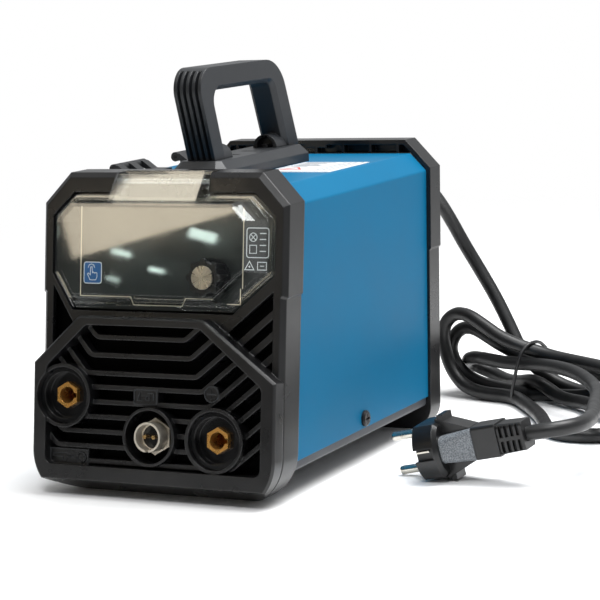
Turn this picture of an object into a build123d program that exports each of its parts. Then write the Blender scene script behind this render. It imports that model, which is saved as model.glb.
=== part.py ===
"""Compact inverter MIG welder: leaning plastic end bezels, sheet steel cover with a hinged side
door over the wire spool, flip-up clear guard over the control panel, carrying handle and mains lead.

Millimetres. +Z up, -Y towards the control panel, origin under the middle of the machine on the
surface that it stands on.
"""
import os
from math import atan, cos, pi, radians, sin, tan

from build123d import *

# ---- driving dimensions -------------------------------------------------------------------------
BEZEL_W = 150.0          # widest part of both bezels
BEZEL_H = 172.0          # top of both bezels
TOP_FLAT = 59.0          # half width of the bezel's flat top
CHAMFER_Z = 155.5        # where the bezel's top chamfer meets its side
SHOULDER_Z = 108.0       # below this height the bezel is narrower by SHOULDER
SHOULDER = 1.0
CORNER_R = 14.0          # rear bezel's bottom corners
FRONT_CORNER_R = 25.0    # front bezel's bottom corners

FRONT_LEAN = 0.15        # the control panel leans back by this much per unit of height
PANEL_Y0 = -109.5        # where the plane of the control panel would meet the floor
BEZEL_D = 19.1           # depth of the front bezel behind that plane
RAISED = 8.7             # how far the lower frame stands proud of the control panel
REAR_LEAN = 0.075
REAR_Y0 = 103.9          # where the plane of the back face would meet the floor
REAR_D = 17.0            # depth of the rear bezel

COVER_X = 72.3           # outside of the sheet cover
ROOF_Z = 164.0
ROOF_EDGE = 62.0         # half width of the flat roof
ROOF_DROP = 10.3         # the roof's chamfer, down and out
COVER_Z0 = 20.0          # bottom edge of the cover
SHEET = 1.0

PAN_Z = 14.0             # underside of the base pan
PAN_T = 1.2
PARTITION_X = 3.0        # spool compartment lies on the -X side of this wall

HANDLE_H = 225.0         # top of the carrying handle
HANDLE_W = 17.0
HINGE_X, HINGE_Z, HINGE_R = -67.6, 167.6, 2.8      # side door's hinge barrel
SPOOL_Y, SPOOL_Z = 28.0, 86.0                      # spool axis
SPOOL_R, SPOOL_BORE, SPOOL_W = 50.0, 8.1, 44.0
SPOOL_X = -50.0          # outer face of the spool
FEED_Y = -46.0           # drive roller's axis
ROLLER_Z = 62.0
ROLLER_R = 11.0
IDLER_R = 9.0
ROLLER_X = (-19.0, -11.0)
WIRE_D = 0.8
IDLER_Z = ROLLER_Z + ROLLER_R + IDLER_R + WIRE_D / 2
ARM_PIVOT = (-64.0, 82.0)            # (y, z) of the idler arm's pivot
TENSION_Y = -30.0
BOARD_Z = 40.0           # underside of the power board

SCREW_Y, SCREW_Z = -0.5, 25.4        # cover's screw on the +X side
LATCH_Y, LATCH_Z = (-38.0, 52.0), 27.0
HANDLE_SCREWS_Y = (-27.0, 34.0)
HINGE_SPANS = ((-24.0, 34.0), (46.0, 34.0))        # (start, length) of both hinges
HINGE_KNUCKLES = 5

LEAN = atan(FRONT_LEAN)
REAR_ANGLE = atan(REAR_LEAN)
PANEL = Plane(origin=(0, PANEL_Y0, 0), x_dir=(1, 0, 0), z_dir=(0, -cos(LEAN), sin(LEAN)))
REAR = Plane(origin=(0, REAR_Y0, 0), x_dir=(-1, 0, 0), z_dir=(0, cos(REAR_ANGLE), -sin(REAR_ANGLE)))

# sockets on the control panel: (x, height along the panel)
LEFT_SOCKET = (-56.0, 53.6)
RIGHT_SOCKET = (37.4, 33.8)
TORCH_SOCKET = (-2.0, 33.8)
FIELD_FLOOR = -4.0       # floor of the louvred field, measured out from the panel's plane
KNOB_AT = (30.8, 119.0)
GUARD_PIVOT = (169.5, -4.0)          # clear guard's hinge: height along the panel, and depth
FAN_AT = (33.6, 62.0)                # fan axis: x, height along the back
GLAND_AT = (42.0, 141.5)
SWITCH_AT = (-34.0, 138.0)
ROCKER_W = -5.0          # depth of the rocker's axis
RELIEF_L = 28.0          # tapered strain relief behind the gland

# mains lead: from the strain relief down to a tied hank, and from there to the plug
CORD_D = 8.5
DROP_ROUTE = [(42.0, 148.5, 138.6), (42.0, 161.5, 137.6), (42.0, 175.5, 132.2), (43.0, 187.3, 123.0),
              (46.0, 196.2, 110.9), (51.7, 201.8, 95.5), (60.6, 204.7, 78.8), (71.5, 203.4, 61.5),
              (81.3, 200.9, 44.0), (90.4, 197.3, 27.5)]
TAIL_ROUTE = [(178.2, -23.2, 27.6), (187.0, -23.0, 29.4), (195.2, -19.8, 30.4), (200.6, -12.6, 30.6),
              (202.2, -2.5, 30.1), (200.6, 10.0, 29.2), (196.3, 27.0, 27.6), (190.0, 47.0, 26.2), (184.0, 68.0, 25.5),
              (178.0, 89.0, 25.2), (170.5, 108.0, 25.5), (160.0, 125.0, 26.5), (146.5, 139.5, 28.0),
              (130.0, 151.5, 28.5), (111.0, 163.5, 27.0)]
HANK_AT = (102.0, 180.0)             # the tie's place
HANK_ANGLE = -21.0
HANK_SECTIONS = [(-66, 38, 57, 1), (-40, 38, 57, 1), (-20, 37, 48, 0), (-2, 36.6, 40, 0), (2, 36.6, 40, 0),
                 (40, 38, 36, 4), (104, 48, 33, 1)]       # (place, width, height, shift) along the hank
FLOOR_LOOP = [(93, 172), (96, 158), (117, 129), (136, 96), (146, 79), (163, 70.5), (183, 72), (199, 84),
              (206.5, 102), (207.4, 123), (203, 143), (180, 168)]
TIE_W, TIE_H = 39.4, 41.6
PLUG_FACE = (119.9, -22.7, 15.7)
PLUG_AXIS = (0.9797, -0.0091, 0.2002)
PLUG_ROLL = 92.0
PLUG_NECK = 45.0         # from its face to the end of the square neck
PLUG_L = 59.5            # and to the end of its strain relief

parts = {}


# ---- helpers ------------------------------------------------------------------------------------
def face(*points):
    """Closed face through the points, in its own plane."""
    return make_face(Polyline(*points, close=True))


def rounded(sketch, radius, keep=lambda v: True):
    """The sketch with the chosen corners rounded."""
    return fillet([v for v in sketch.vertices() if keep(v)], radius)


def slab(x0, x1, y0, y1, z0, z1):
    """Axis-aligned block between two corners."""
    return Pos((x0 + x1) / 2, (y0 + y1) / 2, (z0 + z1) / 2) * Box(x1 - x0, y1 - y0, z1 - z0)


def along_x(sketch, x0, x1):
    """A sketch drawn in (y, z), extruded from x0 to x1."""
    return Plane.YZ.offset(x0).location * extrude(sketch, x1 - x0)


def along_y(sketch, y0, y1):
    """A sketch drawn in (x, z), extruded from y0 to y1."""
    return Plane.XZ.offset(-y1).location * extrude(sketch, y1 - y0)


def rod_x(x0, x1, y, z, r):
    return along_x(Pos(y, z) * Circle(r), x0, x1)


def on_panel(sketch, w0, w1, taper=0):
    """A sketch drawn on the leaning control panel, extruded from depth w0 to w1."""
    return PANEL.location * (Pos(0, 0, w0) * extrude(sketch, w1 - w0, taper=taper))


def on_rear(sketch, w0, w1):
    """A sketch drawn on the leaning back (its x runs towards -X), extruded from w0 to w1."""
    return REAR.location * (Pos(0, 0, w0) * extrude(sketch, w1 - w0))


def disc(at, r):
    return Pos(*at) * Circle(r)


def rect(x0, x1, v0, v1):
    return Pos((x0 + x1) / 2, (v0 + v1) / 2) * Rectangle(x1 - x0, v1 - v0)


def hexagon(at, across_flats):
    """Hexagon with corners up and down."""
    return Pos(*at) * Rot(0, 0, 30) * RegularPolygon(across_flats / 2, 6, major_radius=False)


def flip(at):
    """A place on the back, given with its x towards +X."""
    return (-at[0], at[1])


def cover_ends():
    """The space between the two bezels, bounded by their leaning edges."""
    front = PANEL_Y0 + BEZEL_D / cos(LEAN)
    rear = REAR_Y0 - REAR_D / cos(REAR_ANGLE)
    top = 240.0
    return (front, 0), (rear, 0), (rear + REAR_LEAN * top, top), (front + FRONT_LEAN * top, top)


def between_bezels(gap=0.0):
    a, b, c, d = cover_ends()
    quad = face((a[0] + gap, a[1]), (b[0] - gap, b[1]), (c[0] - gap, c[1]), (d[0] + gap, d[1]))
    return along_x(quad, -90, 90)


# ---- bezel outlines -----------------------------------------------------------------------------
def bezel_outline(inset=0.0, corner=CORNER_R):
    """Bezel's section in (x, z), or a smaller one inside it by inset."""
    half, low = BEZEL_W / 2 - inset, BEZEL_W / 2 - SHOULDER - inset
    slack = 0.41 * inset
    right = [(TOP_FLAT - slack, BEZEL_H - inset), (half, CHAMFER_Z - slack), (half, SHOULDER_Z),
             (low, SHOULDER_Z - SHOULDER), (low, inset)]
    left = [(-x, z) for x, z in reversed(right)]
    return rounded(face(*right, *left), max(corner - inset, 4), lambda v: v.Y < inset + 1)


def cover_outline(grow=0.0):
    """Outside of the sheet cover as a closed section, larger by grow."""
    x, z = COVER_X + grow, ROOF_Z + grow
    right = [(ROOF_EDGE, z), (x, ROOF_Z - ROOF_DROP), (x, COVER_Z0 - 12)]
    return face(*right, *[(-a, b) for a, b in reversed(right)])


def guard_outline():
    """Lip of the clear guard; its lower corners follow the vents beside them."""
    return face((-54, 162), (54, 162), (66.5, 150.5), (66.5, 121), (43, 101.5), (13, 101.5), (10, 104.5),
                (-33, 104.5), (-36, 101.5), (-54.5, 101.5), (-66.5, 120), (-66.5, 150.5))


def guard_recess():
    return face((-55, 163.6), (55, 163.6), (68.2, 151.3), (68.2, 120.5), (43.7, 99.8), (-55.3, 99.8),
                (-68.2, 119.4), (-68.2, 151.3))


def frame_outer():
    """Outside of the raised lower frame."""
    outline = face((-46, 97), (31, 97), (80, 61), (80, -12), (-80, -12), (-80, 65.3))
    return rounded(outline, 7, lambda v: v.Y > 90)


def frame_inner():
    outline = face((-41, 92.3), (28.6, 92.3), (66, 62.5), (66, 16.5), (-65.7, 16.5), (-65.7, 69.3))
    return rounded(outline, 4.5)


# ---- front bezel --------------------------------------------------------------------------------
def louvres():
    """Nested horizontal ribs whose ends bend up to both sides."""
    heights = [85.7, 76.0, 66.3] + [58.8 - 8 * i for i in range(6)]
    reach = 60.0
    ribs = Sketch()
    for i, height in enumerate(heights):
        left, right = -37.5 - 3.5 * i, 17.0 + 3.6 * i
        left_end = (left - reach * cos(radians(50)), height + reach * sin(radians(50)))
        right_end = (right + reach * cos(radians(39)), height + reach * sin(radians(39)))
        path = FilletPolyline(left_end, (left, height), (right, height), right_end, radius=6)
        ribs += trace(path, 2.6)
    return ribs & frame_inner()


def vent_ribs(region, start, direction, pitch, count, width):
    """Parallel slanted ribs inside a triangular vent."""
    dx, dv = direction
    ribs = Sketch()
    for i in range(count):
        x, v = start[0] + dv * pitch * (i + 1), start[1] - dx * pitch * (i + 1)
        ribs += trace(Line((x - 60 * dx, v - 60 * dv), (x + 60 * dx, v + 60 * dv)), width)
    return ribs & region


def right_vent():
    return face((67.5, 112.5), (41.5, 90.6), (42.8, 88.4), (67.5, 70.2))


def left_vent():
    return face((-67.5, 113.5), (-67.5, 77.0), (-53.0, 90.6))


def socket_collars():
    return disc(LEFT_SOCKET, 17.3) + disc(RIGHT_SOCKET, 17.3) + disc(TORCH_SOCKET, 15.8)


def relief_marks():
    """Raised pads with plain symbols between the louvres."""
    pads = disc((34, 58), 4.6) + Pos(-6, 54.7) * RectangleRounded(15, 9, 1.2) + rect(-66, -41, 15.5, 25)
    return pads


def mark_engraving():
    plus = Pos(34, 58) * (Rectangle(6, 0.8) + Rectangle(0.8, 6))
    bars = Pos(-3, 0) * Rectangle(0.8, 5) + Pos(3, 0) * Rectangle(0.8, 5)
    wave = Pos(-6, 54.7) * (Rectangle(10, 0.8) + bars)
    ring = disc((-45.6, 20.4), 3.2) - disc((-45.6, 20.4), 2.5)
    return plus + wave + ring + rect(-63, -52, 20.9, 21.7)


def build_front_bezel():
    depth = along_y(bezel_outline(0, FRONT_CORNER_R), -140, -30)
    body = depth & on_panel(Pos(0, 90) * Rectangle(200, 260), -BEZEL_D, 0)
    front = body.faces().sort_by(lambda f: f.normal_at().dot(PANEL.z_dir))[-1]
    body = chamfer([e for e in front.edges() if e.center().Z > 60], 2.6)
    hollow = along_y(bezel_outline(3.2, FRONT_CORNER_R), -140, -30)
    body -= hollow & on_panel(Pos(0, 90) * Rectangle(200, 260), -BEZEL_D - 5, -7.5)

    frame = on_panel(frame_outer(), -1, RAISED) & depth
    proud = frame.faces().sort_by(lambda f: f.normal_at().dot(PANEL.z_dir))[-1]
    frame = chamfer([e for e in proud.edges() if e.center().Z > 20], 1.2)
    body += frame
    toe = (PANEL_Y0 - RAISED + FRONT_LEAN * 10, 10)
    body -= along_x(face((-150, 10), toe, (-96.5, 0), (-96.5, -5), (-150, -5)), -90, 90)

    field = on_panel(frame_inner(), FIELD_FLOOR, RAISED + 2)
    body -= field
    body += on_panel(louvres() - socket_collars() - relief_marks(), FIELD_FLOOR - 0.5, 3.0)
    body += on_panel(relief_marks() - socket_collars(), FIELD_FLOOR - 0.5, 3.4)
    body -= on_panel(mark_engraving(), 3.0, 4.0)

    body += on_panel(socket_collars(), FIELD_FLOOR - 3, 7.0)
    for at in (LEFT_SOCKET, RIGHT_SOCKET):
        body -= on_panel(disc(at, 15.4), -3.5, 20)
        body -= on_panel(disc(at, 12.2), -12, 0)
    body -= on_panel(disc(TORCH_SOCKET, 14.2), FIELD_FLOOR, 20)
    body -= on_panel(disc(TORCH_SOCKET, 7.8), -12, 0)

    right_ribs = vent_ribs(right_vent(), (42.8, 92.0), (0.772, 0.636), 8.6, 3, 3.6)
    left_ribs = vent_ribs(left_vent(), (-67.5, 113.5), (0.544, -0.839), -6.4, 2, 3.2)
    for region, ribs in ((right_vent(), right_ribs), (left_vent(), left_ribs)):
        body -= on_panel(region, -5.5, 3)
        body += on_panel(ribs, -6, -1.2)
    body -= on_panel(guard_recess(), -4.5, 3)

    notch_wall = on_panel(rect(-31.5, 31.5, 158, 190), -16.5, -7) & depth
    body += notch_wall
    body -= on_panel(rect(-28.4, 28.4, 161.5, 190), -12.8, 5)
    body -= guard_rod(30.6, 1.5)
    body -= on_panel(disc(KNOB_AT, 5.2), -12, 0)
    return body


def guard_rod(half_length, r):
    """Rod along the clear guard's hinge axis."""
    v, w = GUARD_PIVOT
    return PANEL.location * (Pos(0, v, w) * Rot(0, 90, 0) * Cylinder(r, 2 * half_length))


# ---- clear guard --------------------------------------------------------------------------------
GUARD_BASE = [(-54, 161.0), (54, 161.0), (65.2, 150.0), (65.2, 121.5), (42.4, 102.8), (-54, 102.8),
              (-65.2, 120.4), (-65.2, 150.0)]
GUARD_FRONT = [(-49, 157.5), (49, 157.5), (57, 149.5), (57, 123.0), (38.0, 107.0), (-49, 107.0),
               (-57, 120.5), (-57, 149.5)]
GUARD_WALL = 1.9


def raised_panel(base, w0, front, w1):
    """Solid whose back is one outline and whose front is a smaller one."""
    back = PANEL.location * (Pos(0, 0, w0) * base)
    ahead = PANEL.location * (Pos(0, 0, w1) * front)
    return loft([back.faces()[0], ahead.faces()[0]], ruled=True)


def side_view(points, x0, x1):
    """A side view drawn in (height along the panel, depth), extruded along X."""
    side = Plane(origin=(x0, 0, 0), x_dir=(0, 1, 0), z_dir=(1, 0, 0))
    return PANEL.location * (side.location * extrude(face(*points), x1 - x0))


def build_clear_guard():
    base, front = face(*GUARD_BASE), face(*GUARD_FRONT)
    inner_base = offset(base, -GUARD_WALL, kind=Kind.INTERSECTION)
    inner_front = offset(front, -GUARD_WALL, kind=Kind.INTERSECTION)
    guard = raised_panel(base, -1.4, front, 13.6)
    guard += on_panel(guard_outline(), -1.4, 0.2)
    tab = [(150, -1.4), (150, 11), (159.0, 11.4), (173.0, 2.4), (175.2, 1.2), (175.2, -6.5),
           (170, -6.5), (160, -1.4)]
    tab_inside = [(140, -2), (140, 9.5), (158.4, 9.5), (171.6, 1.0), (173.4, 0), (173.4, -8), (140, -8)]
    guard += side_view(tab, -27, 27)
    guard -= raised_panel(inner_base, -1.5, inner_front, 13.6 - GUARD_WALL)
    guard -= side_view(tab_inside, -25.2, 25.2)
    ears = guard_rod(27, 3.6)
    ears -= side_view([(150, -20), (150, 20), (190, 20), (190, -20)], -24.4, 24.4)
    return guard + ears - guard_rod(40, 1.55)


# ---- control panel parts ------------------------------------------------------------------------
def build_control_parts():
    plate = offset(guard_recess(), -1.0, kind=Kind.INTERSECTION) - rect(-29.5, 29.5, 161, 180)
    parts["control_fascia"] = on_panel(plate - disc(KNOB_AT, 3.6), FIELD_FLOOR - 0.5, -3.3)
    parts["guard_hinge_pin"] = guard_rod(30.6, 1.5)
    x, v = KNOB_AT
    body = on_panel(Pos(x, v) * RectangleRounded(17, 17, 2), -17, -9.5)
    body += on_panel(disc(KNOB_AT, 5.0), -9.5, -4.6)
    parts["potentiometer"] = body - on_panel(disc(KNOB_AT, 3.05), -16, 0)
    lobes = disc(KNOB_AT, 8.7)
    for i in range(8):
        lobes += Pos(x, v) * Rot(0, 0, 45 * i) * Pos(8.4, 0) * Circle(1.9)
    skirt = on_panel(disc(KNOB_AT, 9.9), -2.9, -0.6)
    knob = on_panel(lobes, -0.6, 9.6) + skirt
    top = knob.faces().sort_by(lambda f: f.center().Y)[0]
    parts["control_knob"] = chamfer(top.edges(), 0.5) + on_panel(disc(KNOB_AT, 3.0), -15.8, -2)
    parts["knob_cap"] = on_panel(disc(KNOB_AT, 6.2), 9.6, 10.8)
    board = rect(-62, 16, 104, 158) + rect(16, 62, 130, 158)
    board -= rect(-33, 33, 156.5, 190) + disc(KNOB_AT, 3.6)
    parts["control_board"] = on_panel(board, -19.0, -17.4) + on_panel(rect(-40, -8, 128, 146), -17.4, -8)


# ---- sockets ------------------------------------------------------------------------------------
def socket_housing(at):
    shell = on_panel(disc(at, 15.2), -3.5, 4.6) - on_panel(disc(at, 12.6), -0.8, 10)
    shell += on_panel(disc(at, 12.1), -30, -3.5)
    shell -= on_panel(hexagon(at, 12.4), -2.2, 10)
    return shell - on_panel(disc(at, 6.1), -40, 0)


def socket_contact(at):
    x, v = at
    contact = on_panel(hexagon(at, 12.4), -2.2, 2.4) + on_panel(disc(at, 6.0), -38, -2.2)
    contact -= on_panel(disc(at, 4.55), -24, 5)
    return contact - on_panel(Pos(x + 4.6, v) * Rectangle(2.6, 2.6), -10, 5)


def socket_nut(at):
    """Ring nut that clamps the socket's housing behind the bezel."""
    nut = on_panel(Pos(*at) * RegularPolygon(13.4, 8, major_radius=False), -13.5, -8.5)
    return nut - on_panel(disc(at, 12.15), -14, -8)


def build_sockets():
    sockets = (LEFT_SOCKET, RIGHT_SOCKET)
    parts["socket_housings"] = Compound([socket_housing(at) for at in sockets])
    parts["socket_contacts"] = Compound([socket_contact(at) for at in sockets])
    parts["socket_nuts"] = Compound([socket_nut(at) for at in sockets])
    at = TORCH_SOCKET
    x, v = at
    barrel = on_panel(disc(at, 7.3), -7.5, -0.3) + on_panel(disc(at, 8.0), -0.3, 8.2)
    barrel -= on_panel(disc(at, 6.3), -7.6, 2) + on_panel(disc(at, 6.9), 1.4, 8.3)
    barrel -= on_panel(rect(x - 1, x + 1, v - 9, v - 5.5), 4, 9)
    nut = on_panel(hexagon(at, 17.4), FIELD_FLOOR, -0.6) - on_panel(disc(at, 7.35), -5, 0)
    parts["torch_connector_shell"] = Compound([barrel, nut])
    parts["torch_connector_insert"] = on_panel(disc(at, 6.3), -7.5, 1.4) + on_panel(disc(at, 9), -20, -7.5)
    pins = [on_panel(disc((x + d, v), 1.0), 1.4, 6.4) for d in (-2.6, 2.6)]
    parts["torch_connector_pins"] = Compound(pins)


# ---- rear bezel and what it carries -------------------------------------------------------------
def build_rear():
    depth = along_y(bezel_outline(), 50, 150)
    body = depth & on_rear(Pos(0, 90) * Rectangle(200, 260), -REAR_D, 0)
    back = body.faces().sort_by(lambda f: f.normal_at().dot(REAR.z_dir))[-1]
    body = chamfer([e for e in back.edges() if e.center().Z > 1], 2.6)
    body -= along_y(bezel_outline(10), 50, 150)
    groove = bezel_outline(2.8) - cover_outline(0.4) - rect(-90, 90, -5, 120)
    ribs = sum((rect(18 * i - 0.8, 18 * i + 0.8, 160, 175) for i in range(-3, 4)), rect(-7, 7, 167.5, 171))
    behind_roof = on_rear(Pos(0, 90) * Rectangle(200, 260), -REAR_D - 5, -REAR_D + 6)
    body -= along_y(groove - ribs, 50, 150) & behind_roof
    parts["rear_bezel"] = body

    panel = along_y(bezel_outline(10.05), 50, 150) & on_rear(Pos(0, 90) * Rectangle(200, 260), -7, -5.5)
    fx, fv = flip(FAN_AT)
    grille = Sketch()
    for i in range(-3, 4):
        half = (26.0 ** 2 - (7 * i) ** 2) ** 0.5
        grille += Pos(fx, fv + 7 * i) * SlotOverall(2 * half, 3.6)
    louvre = Sketch()
    for i in range(5):
        louvre += Pos(34, 36 + 9 * i) * SlotOverall(36, 3.6)
    sx, sv = flip(SWITCH_AT)
    cut = grille + louvre + rect(sx - 9.6, sx + 9.6, sv - 13.6, sv + 13.6) + disc(flip(GLAND_AT), 8.1)
    parts["rear_panel"] = panel - on_rear(cut, -10, 0)

    frame = on_rear(rect(sx - 11.5, sx + 11.5, sv - 15.5, sv + 15.5), -5.5, -4.0)
    frame += on_rear(rect(sx - 9.5, sx + 9.5, sv - 13.5, sv + 13.5), -22, -5.5)
    frame -= on_rear(rect(sx - 7.2, sx + 7.2, sv - 11.4, sv + 11.4), -16, 0)
    parts["switch_frame"] = frame - rocker_rod(sx, sv, 8.4, 1.25)
    parts["switch_rocker"] = build_rocker(sx, sv)


def build_rocker(sx, sv):
    """Two-faced rocker, tilted to off, turning about a rod across the switch."""
    side = Plane(origin=(0, 0, 0), x_dir=(0, 1, 0), z_dir=(1, 0, 0))
    shape = face((-9.4, 4.2), (0, 0.6), (9.4, 1.2), (8.4, -6.0), (-8.4, -4.6))
    rocker = side.offset(-6.8).location * extrude(shape, 13.6)
    return REAR.location * (Pos(sx, sv, ROCKER_W) * rocker) + rocker_rod(sx, sv, 8.2, 1.2)


def rocker_rod(sx, sv, half_length, r):
    return REAR.location * (Pos(sx, sv, ROCKER_W) * Rot(0, 90, 0) * Cylinder(r, 2 * half_length))


def build_gland():
    at = flip(GLAND_AT)
    gland = on_rear(hexagon(at, 22), -5.5, -0.5) + on_rear(disc(at, 9.5), -0.5, 6)
    gland += on_rear(disc(at, 8.0), -16, -5.5)
    gland -= on_rear(disc(at, 4.4), -20, 10)
    nut = on_rear(hexagon(at, 24), -12, -7) - on_rear(disc(at, 8.05), -13, -6)
    parts["cable_gland"] = Compound([gland, nut])
    parts["strain_relief"] = REAR.location * (Pos(at[0], at[1], 6 + RELIEF_L / 2) * Cone(7.0, 5.4, RELIEF_L))


# ---- cover, door, pan ---------------------------------------------------------------------------
def build_cover():
    half = SHEET / 2
    x, z = COVER_X - half, ROOF_Z - half
    path = FilletPolyline((x, COVER_Z0), (x, ROOF_Z - ROOF_DROP), (ROOF_EDGE, z), (-60.5, z), (-60.5, 152),
                          radius=1.6)
    cover = along_y(trace(path, SHEET), -120, 130) & between_bezels()
    cover -= rod_x(60, 90, SCREW_Y, SCREW_Z, 2.2)
    for y in HANDLE_SCREWS_Y:
        cover -= Pos(0, y, ROOF_Z) * Cylinder(2.5, 10)
    parts["top_cover"] = cover

    path = FilletPolyline((-62.9, ROOF_Z - 1.4), (-x, ROOF_Z - ROOF_DROP), (-x, COVER_Z0 + 0.6), radius=1.6)
    door = along_y(trace(path, SHEET), -120, 130) & between_bezels(0.7)
    for y in LATCH_Y:
        door -= rod_x(-90, -60, y, LATCH_Z, 4.6)
    parts["side_door"] = door

    pan_x = 70.2
    pan_mid = PAN_Z + PAN_T / 2
    path = FilletPolyline((-pan_x, 33), (-pan_x, pan_mid), (pan_x, pan_mid), (pan_x, 33), radius=1.8)
    pan = along_y(trace(path, PAN_T), -120, 130) & between_bezels()
    pan -= rod_x(60, 90, SCREW_Y, SCREW_Z, 2.1)
    for y in LATCH_Y:
        pan -= rod_x(-90, -60, y, LATCH_Z, 3.4)
    for i in range(6):
        pan -= Pos(38, -50 + 18 * i, PAN_Z) * extrude(SlotOverall(40, 4), 5)
    for x in (13, 61):
        for y in (-57, 45):
            pan += Pos(x, y, (PAN_Z + PAN_T + BOARD_Z) / 2) * Cylinder(3, BOARD_Z - PAN_Z - PAN_T)
    parts["base_pan"] = pan


def build_latches():
    """Quarter-turn fasteners that keep the side door shut."""
    for name, y in zip(("door_latch_front", "door_latch_rear"), LATCH_Y):
        head = rod_x(-COVER_X - 1.9, -COVER_X - 0.1, y, LATCH_Z, 9.0)
        head += rod_x(-COVER_X - 0.1, -66.4, y, LATCH_Z, 3.0)
        grip = slab(-COVER_X - 2.6, -COVER_X - 1.9, y - 1.6, y + 1.6, LATCH_Z - 8, LATCH_Z + 8)
        parts[name] = head + grip


def knuckles(count, start, length, gap, first):
    """Barrel pieces of one hinge leaf: every second of count along Y."""
    step = length / count
    spans = [(start + step * i + gap / 2, start + step * (i + 1) - gap / 2) for i in range(first, count, 2)]
    return spans


def build_hinges():
    fixed, moving, pins = [], [], []
    for start, length in HINGE_SPANS:
        leaf = slab(-61.0, -49.0, start, start + length, ROOF_Z, ROOF_Z + 1.2)
        for y0, y1 in knuckles(HINGE_KNUCKLES, start, length, 0.5, 0):
            arm = face((-61.2, ROOF_Z), (-58.5, ROOF_Z + 1.2), (-64.6, HINGE_Z + 2.0),
                       (HINGE_X, HINGE_Z + 2.0), (HINGE_X, HINGE_Z - 1.2), (-65.0, HINGE_Z - 1.6))
            leaf += along_y(arm, y0, y1) + along_y(Pos(HINGE_X, HINGE_Z) * Circle(HINGE_R), y0, y1)
        fixed.append(leaf - along_y(Pos(HINGE_X, HINGE_Z) * Circle(1.25), start - 1, start + length + 1))
        pins.append(along_y(Pos(HINGE_X, HINGE_Z) * Circle(1.25), start, start + length))
        moving.append(door_leaf(start, length))
    parts["hinge_leaves_fixed"] = Compound(fixed)
    parts["hinge_pins"] = Compound(pins)
    parts["hinge_leaves_door"] = Compound(moving)


def door_leaf(start, length):
    """Leaf lying on the door's chamfer, with the other knuckles."""
    normal, slope = (-0.7071, 0.7071), (-0.7071, -0.7071)
    foot = (-62.9 - 0.3536, ROOF_Z - 1.4 + 0.3536)
    p0 = (foot[0] + 2.4 * slope[0], foot[1] + 2.4 * slope[1])
    p1 = (foot[0] + 11.0 * slope[0], foot[1] + 11.0 * slope[1])
    plate = face(p0, p1, (p1[0] + 1.1 * normal[0], p1[1] + 1.1 * normal[1]),
                 (p0[0] + 1.1 * normal[0], p0[1] + 1.1 * normal[1]))
    leaf = along_y(plate, start, start + length)
    for y0, y1 in knuckles(HINGE_KNUCKLES, start, length, 0.5, 1):
        arm = face((HINGE_X - 1.4, HINGE_Z), (HINGE_X + 1.6, HINGE_Z), p0, (p0[0] - 2.4, p0[1] - 0.9))
        leaf += along_y(arm, y0, y1) + along_y(Pos(HINGE_X, HINGE_Z) * Circle(HINGE_R), y0, y1)
    return leaf - along_y(Pos(HINGE_X, HINGE_Z) * Circle(1.3), start - 1, start + length + 1)


# ---- handle -------------------------------------------------------------------------------------
def handle_outline():
    top = HANDLE_H
    outline = face((-40.3, 171), (-57.2, top), (40.4, top), (61.0, 171))
    outline = rounded(outline, 12, lambda v: v.Y > 200 and v.X < 0)
    return rounded(outline, 25, lambda v: v.Y > 200 and v.X > 0)


def handle_window():
    window = face((-27.0, 174), (-38.6, 212.0), (30.5, 212.0), (44.8, 174))
    return rounded(window, 6, lambda v: v.Y > 200)


def build_handle():
    half = HANDLE_W / 2
    above_posts = face((-80, 174), (-80, 230), (80, 230), (80, 174))
    bevel = offset(handle_window(), 2.6, kind=Kind.INTERSECTION) & above_posts
    grip = along_x(handle_outline() - handle_window(), -half, half)
    for side in (-1, 1):
        outer = Plane.YZ.offset(side * half).location * bevel
        inner = Plane.YZ.offset(side * (half - 2.6)).location * handle_window()
        grip -= loft([inner.faces()[0], outer.faces()[0]])
    skin = handle_outline() - offset(handle_outline(), -6)
    front = skin & face((-80, 171.5), (-80, 240), (-47, 240), (-47, 212), (-24, 171.5))
    for x in (-5.55, -1.85, 1.85, 5.55):
        grip -= along_x(front, x - 0.95, x + 0.95)
    for y0, y1 in ((-33.5, -19.5), (33.5, 47.5)):
        grip += along_y(Pos(0, 174) * Circle(7.6) & rect(-9, 9, 174, 190), y0, y1)
    grip -= along_y(disc((0, 175), 5.2), -23.5, -19) + along_y(disc((0, 175), 5.2), 33, 37.5)
    for y in HANDLE_SCREWS_Y:
        grip -= Pos(0, y, 175) * Cylinder(2.1, 12)
    grip = grip - slab(-20, 20, -90, 90, 160, 174)
    parts["handle_grip"] = grip

    low = Pos(0, 6, ROOF_Z) * extrude(chamfer(Rectangle(34, 109).vertices(), 5), 5)
    high = Pos(0, 6, ROOF_Z + 5) * extrude(chamfer(Rectangle(34, 109).vertices(), 5), 5, taper=42)
    base = low + high
    for y in (-6.0, 14.0):
        base -= Pos(0, y, ROOF_Z + 7) * extrude(SlotOverall(10, 2.4), 6)
    for y in HANDLE_SCREWS_Y:
        base -= Pos(0, y, ROOF_Z) * Cylinder(2.1, 40)
    parts["handle_base"] = base


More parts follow.
